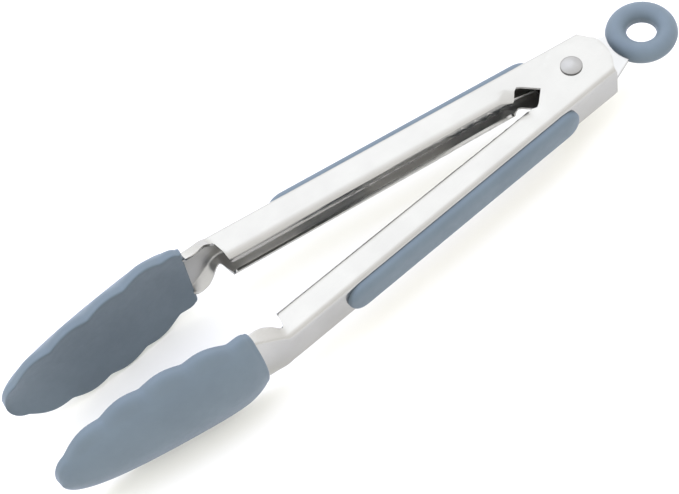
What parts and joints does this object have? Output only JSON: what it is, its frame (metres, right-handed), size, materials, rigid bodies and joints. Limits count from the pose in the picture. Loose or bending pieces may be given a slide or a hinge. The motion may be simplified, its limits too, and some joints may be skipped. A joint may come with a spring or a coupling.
{
  "type": "spring loaded kitchen tongs",
  "caption": "Small locking kitchen tongs: two sprung steel arms on a rivet, scalloped silicone heads and grips, and a pull ring that works the lock plate.",
  "frame": {"origin": "centre of the bounding box of the tongs, lying on their side and fully open, with the lock pushed in", "axes": "+X from the pull ring towards the heads, +Z along the pivot rivet towards its domed head, +Y towards the outer arm"},
  "size_m": [0.2032, 0.0456, 0.0318],
  "materials": {
    "arm_steel": "brushed on the web, bright on the flanges",
    "rivet_steel": "polished",
    "spring_steel": "drawn wire",
    "plate_steel": "bright",
    "silicone": "matt blue grey silicone"
  },
  "bodies": {
    "pivot": {"pivot_rivet": "rivet_steel", "spacer_bush": "rivet_steel", "torsion_spring": "spring_steel"},
    "outer_jaw": {"outer_arm": "arm_steel", "outer_head": "silicone", "outer_grip": "silicone"},
    "inner_jaw": {"inner_arm": "arm_steel", "inner_head": "silicone", "inner_grip": "silicone"},
    "lock": {"lock_plate": "plate_steel", "pull_ring": "silicone"}
  },
  "joints": [
    {"name": "outer_squeeze", "type": "hinge", "parent": "pivot", "child": "outer_jaw", "pos_m": [-0.06827, 0, 0], "axis": [0, 0, -1], "range_deg": [0, 4], "stiffness_Nm_per_rad": 0.6, "springref_deg": -20.05, "deforming": ["torsion_spring"]},
    {"name": "inner_squeeze", "type": "hinge", "parent": "pivot", "child": "inner_jaw", "pos_m": [-0.06827, 0, 0], "axis": [0, 0, 1], "range_deg": [0, 4]},
    {"name": "lock_pull", "type": "slide", "parent": "pivot", "child": "lock", "axis": [-1, 0, 0], "range_m": [0, 0.005]}
  ],
  "couplings": [
    {"joint": "inner_squeeze", "follows": "outer_squeeze", "ratio": 1}
  ]
}
